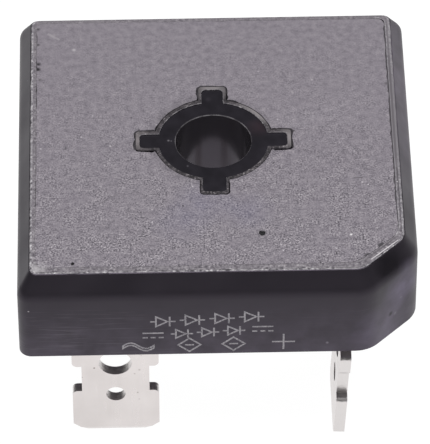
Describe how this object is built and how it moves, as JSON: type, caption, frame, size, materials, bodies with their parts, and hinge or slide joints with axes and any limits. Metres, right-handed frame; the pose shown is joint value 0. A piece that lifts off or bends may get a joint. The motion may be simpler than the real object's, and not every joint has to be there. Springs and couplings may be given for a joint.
{
  "type": "bridge rectifier",
  "caption": "Square black potted rectifier with a bevelled plus corner, a screw hole through its grey heat-sink face and flat push-on tabs.",
  "frame": {"origin": "centre of the screw hole, on the plane of the heat-sink face", "axes": "+Z out of the heat-sink face, so the tabs point along -Z; -Y is the side that carries the polarity marks; the bevelled plus corner is at +X, -Y"},
  "size_m": [0.0286, 0.0286, 0.0203],
  "materials": {
    "case_plastic": "moulded black, satin",
    "potting_compound": "mineral-filled resin, ground flat",
    "nickel_plate": "nickel-plated copper, satin",
    "silicon": "diffused silicon die",
    "copper": "bare copper strip",
    "solder_alloy": "reflowed solder"
  },
  "bodies": {
    "root": {"case_shell": "case_plastic", "potting": "potting_compound", "terminal_plus": "nickel_plate", "terminal_minus": "nickel_plate", "terminal_ac_front": "nickel_plate", "terminal_ac_rear": "nickel_plate", "die_front": "silicon", "die_right": "silicon", "die_rear": "silicon", "die_left": "silicon", "jumper_front": "copper", "jumper_right": "copper", "jumper_rear": "copper", "jumper_left": "copper", "solder_front": "solder_alloy", "solder_right": "solder_alloy", "solder_rear": "solder_alloy", "solder_left": "solder_alloy"}
  },
  "joints": []
}
